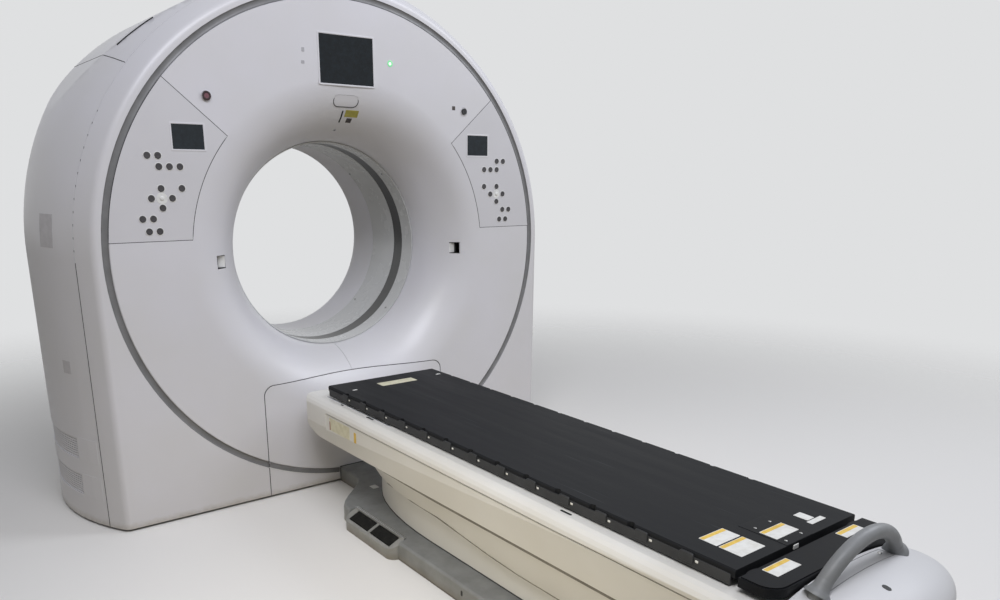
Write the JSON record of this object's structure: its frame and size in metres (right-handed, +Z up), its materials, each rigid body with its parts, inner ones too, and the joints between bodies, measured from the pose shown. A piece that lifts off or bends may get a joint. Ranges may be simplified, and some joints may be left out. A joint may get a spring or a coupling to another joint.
{
  "type": "ct scanner",
  "caption": "Large-bore medical CT scanner: a floor-standing ring gantry with a flared bore and, in front, a lifting patient couch with a sliding top.",
  "frame": {"origin": "on the floor, straight below the isocentre, in the middle of the gantry's four anchor holes", "axes": "+Z up, bore axis along Y with the couch towards -Y, +X to the right of someone at the couch end facing the gantry"},
  "size_m": [2.372, 3.443, 2.136],
  "materials": {
    "white_cover": "satin white paint on moulded covers",
    "liner_white": "smooth white",
    "trim_grey": "satin blue-grey",
    "window_film": "smoked translucent film",
    "panel_grey": "satin pale grey",
    "display_black": "gloss black",
    "lamp_green": "clear green lens",
    "button_red": "gloss red",
    "button_black": "satin black",
    "frame_paint": "grey machine paint",
    "steel": "machined steel",
    "cast_aluminium": "bare machined casting",
    "housing_metal": "grey paint",
    "base_grey": "satin grey",
    "pedal_rubber": "ribbed black rubber",
    "tabletop_black": "satin black carbon fibre laminate",
    "handle_grey": "satin grey"
  },
  "bodies": {
    "stand": {"gantry_frame": "frame_paint", "leveling_feet": "steel", "main_bearing": "steel", "front_cover": "white_cover", "front_surround": "white_cover", "ring_trim": "trim_grey", "service_cover": "white_cover", "left_side_cover": "white_cover", "right_side_cover": "white_cover", "top_cover": "white_cover", "rear_surround": "white_cover", "rear_cover": "white_cover", "front_liner": "liner_white", "scan_window": "window_film", "rear_liner": "liner_white", "left_panel": "panel_grey", "right_panel": "panel_grey", "left_display": "display_black", "main_display": "display_black", "laser_windows": "display_black", "intercom_cover": "panel_grey", "status_lamp": "lamp_green", "couch_base": "base_grey", "pedal_housing": "base_grey", "lower_skirt": "white_cover", "lift_column_lower": "steel"},
    "rotor": {"rotor_drum": "cast_aluminium", "xray_tube": "housing_metal", "collimator": "housing_metal", "detector_arc": "housing_metal", "hv_generator": "frame_paint"},
    "lift_stage": {"middle_skirt": "white_cover", "lift_column_middle": "steel"},
    "couch": {"lift_column_upper": "steel", "upper_skirt": "white_cover", "couch_body": "white_cover", "guide_rails": "steel", "end_cap": "white_cover", "handle": "handle_grey"},
    "couch_top": {"carriage": "cast_aluminium", "tabletop": "tabletop_black", "foot_piece": "tabletop_black"},
    "up_pedal": {"up_pedal": "pedal_rubber"},
    "down_pedal": {"down_pedal": "pedal_rubber"},
    "left_stop_button": {"left_stop_button": "button_red"},
    "right_stop_button": {"right_stop_button": "button_black"},
    "left_key_1": {"left_key_1": "button_black"},
    "left_key_2": {"left_key_2": "button_black"},
    "left_key_3": {"left_key_3": "button_black"},
    "left_key_4": {"left_key_4": "button_black"},
    "left_key_5": {"left_key_5": "button_black"},
    "left_key_6": {"left_key_6": "button_black"},
    "left_key_7": {"left_key_7": "button_black"},
    "left_key_8": {"left_key_8": "button_black"},
    "left_key_9": {"left_key_9": "button_black"},
    "left_key_10": {"left_key_10": "button_black"},
    "left_key_11": {"left_key_11": "button_black"},
    "left_key_12": {"left_key_12": "button_black"},
    "left_key_13": {"left_key_13": "button_black"},
    "left_key_14": {"left_key_14": "button_black"}
  },
  "joints": [
    {"name": "couch_lift", "type": "slide", "parent": "stand", "child": "couch", "axis": [0, 0, 1], "range_m": [0, 0.4]},
    {"name": "couch_top_slide", "type": "slide", "parent": "couch", "child": "couch_top", "axis": [0, 1, 0], "range_m": [0, 0.2]},
    {"name": "gantry_spin", "type": "hinge", "parent": "stand", "child": "rotor", "pos_m": [0, 0.09, 1.054], "axis": [0, 1, 0], "continuous": true},
    {"name": "lift_stage_slide", "type": "slide", "parent": "stand", "child": "lift_stage", "axis": [0, 0, 1], "range_m": [0, 0.2]},
    {"name": "down_pedal_press", "type": "hinge", "parent": "stand", "child": "down_pedal", "pos_m": [-0.28853, -1.098, 0.0604], "axis": [0, -1, 0], "range_deg": [0, 8], "stiffness_Nm_per_rad": 6, "springref_deg": -2.86},
    {"name": "up_pedal_press", "type": "hinge", "parent": "stand", "child": "up_pedal", "pos_m": [-0.28853, -0.936, 0.0604], "axis": [0, -1, 0], "range_deg": [0, 8], "stiffness_Nm_per_rad": 6, "springref_deg": -2.86},
    {"name": "left_stop_button_press", "type": "slide", "parent": "stand", "child": "left_stop_button", "axis": [0, 1, 0], "range_m": [0, 0.004], "stiffness_N_per_m": 800, "springref_m": -0.003},
    {"name": "right_stop_button_press", "type": "slide", "parent": "stand", "child": "right_stop_button", "axis": [0, 1, 0], "range_m": [0, 0.004], "stiffness_N_per_m": 800, "springref_m": -0.003},
    {"name": "left_key_1_press", "type": "slide", "parent": "stand", "child": "left_key_1", "axis": [0, 1, 0], "range_m": [0, 0.0016], "stiffness_N_per_m": 600, "springref_m": -0.0015},
    {"name": "left_key_2_press", "type": "slide", "parent": "stand", "child": "left_key_2", "axis": [0, 1, 0], "range_m": [0, 0.0016], "stiffness_N_per_m": 600, "springref_m": -0.0015},
    {"name": "left_key_3_press", "type": "slide", "parent": "stand", "child": "left_key_3", "axis": [0, 1, 0], "range_m": [0, 0.0016], "stiffness_N_per_m": 600, "springref_m": -0.0015},
    {"name": "left_key_4_press", "type": "slide", "parent": "stand", "child": "left_key_4", "axis": [0, 1, 0], "range_m": [0, 0.0016], "stiffness_N_per_m": 600, "springref_m": -0.0015},
    {"name": "left_key_5_press", "type": "slide", "parent": "stand", "child": "left_key_5", "axis": [0, 1, 0], "range_m": [0, 0.0016], "stiffness_N_per_m": 600, "springref_m": -0.0015},
    {"name": "left_key_6_press", "type": "slide", "parent": "stand", "child": "left_key_6", "axis": [0, 1, 0], "range_m": [0, 0.0016], "stiffness_N_per_m": 600, "springref_m": -0.0015},
    {"name": "left_key_7_press", "type": "slide", "parent": "stand", "child": "left_key_7", "axis": [0, 1, 0], "range_m": [0, 0.0016], "stiffness_N_per_m": 600, "springref_m": -0.0015},
    {"name": "left_key_8_press", "type": "slide", "parent": "stand", "child": "left_key_8", "axis": [0, 1, 0], "range_m": [0, 0.0016], "stiffness_N_per_m": 600, "springref_m": -0.0015},
    {"name": "left_key_9_press", "type": "slide", "parent": "stand", "child": "left_key_9", "axis": [0, 1, 0], "range_m": [0, 0.0016], "stiffness_N_per_m": 600, "springref_m": -0.0015},
    {"name": "left_key_10_press", "type": "slide", "parent": "stand", "child": "left_key_10", "axis": [0, 1, 0], "range_m": [0, 0.0016], "stiffness_N_per_m": 600, "springref_m": -0.0015},
    {"name": "left_key_11_press", "type": "slide", "parent": "stand", "child": "left_key_11", "axis": [0, 1, 0], "range_m": [0, 0.0016], "stiffness_N_per_m": 600, "springref_m": -0.0015},
    {"name": "left_key_12_press", "type": "slide", "parent": "stand", "child": "left_key_12", "axis": [0, 1, 0], "range_m": [0, 0.0016], "stiffness_N_per_m": 600, "springref_m": -0.0015},
    {"name": "left_key_13_press", "type": "slide", "parent": "stand", "child": "left_key_13", "axis": [0, 1, 0], "range_m": [0, 0.0016], "stiffness_N_per_m": 600, "springref_m": -0.0015},
    {"name": "left_key_14_press", "type": "slide", "parent": "stand", "child": "left_key_14", "axis": [0, 1, 0], "range_m": [0, 0.0016], "stiffness_N_per_m": 600, "springref_m": -0.0015}
  ],
  "couplings": [
    {"joint": "lift_stage_slide", "follows": "couch_lift", "ratio": 0.5}
  ]
}
